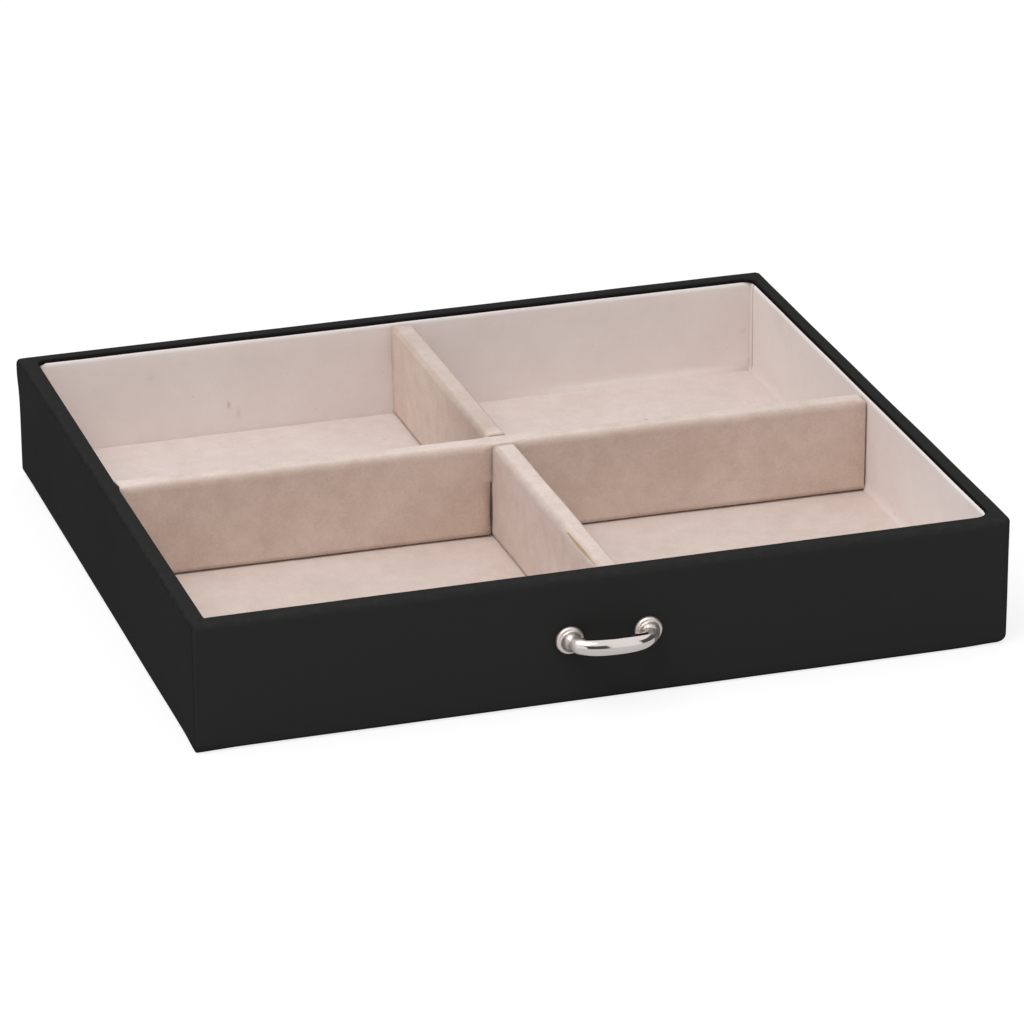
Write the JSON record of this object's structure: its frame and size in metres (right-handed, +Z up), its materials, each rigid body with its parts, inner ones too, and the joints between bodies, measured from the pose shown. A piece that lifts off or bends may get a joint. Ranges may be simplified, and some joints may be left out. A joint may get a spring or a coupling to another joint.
{
  "type": "jewellery drawer tray",
  "caption": "Shallow leatherette drawer tray with a velvet lining, crossing lift-out dividers and a small bow handle.",
  "frame": {"origin": "centre of the tray's underside, between the leatherette's outer faces", "axes": "+X to the right seen from the handle side, +Y towards the back, +Z up; the handle is on the -Y face"},
  "size_m": [0.285, 0.2652, 0.0458],
  "materials": {
    "board": "raw fibreboard",
    "leatherette": "smooth black leatherette, satin",
    "felt": "black pressed felt",
    "card": "grey board",
    "foam": "thin open-cell foam",
    "velvet": "beige short-pile velvet",
    "nickel": "polished nickel plate",
    "screw_steel": "zinc-plated steel"
  },
  "bodies": {
    "tray": {"front_board": "board", "back_board": "board", "left_board": "board", "right_board": "board", "bottom_board": "board", "leather_wrap": "leatherette", "underside_felt": "felt", "front_liner_card": "card", "back_liner_card": "card", "left_liner_card": "card", "right_liner_card": "card", "front_liner_velvet": "velvet", "back_liner_velvet": "velvet", "left_liner_velvet": "velvet", "right_liner_velvet": "velvet", "floor_card": "card", "floor_foam": "foam", "floor_velvet": "velvet", "handle": "nickel", "handle_screws": "screw_steel"},
    "short_divider": {"short_divider_core": "board", "short_divider_velvet": "velvet"},
    "long_divider": {"long_divider_core": "board", "long_divider_velvet": "velvet"}
  },
  "joints": [
    {"name": "short_divider_lift", "type": "slide", "parent": "tray", "child": "short_divider", "axis": [0, 0, 1], "range_m": [0, 0.045]},
    {"name": "long_divider_lift", "type": "slide", "parent": "short_divider", "child": "long_divider", "axis": [0, 0, 1], "range_m": [0, 0.045]}
  ]
}
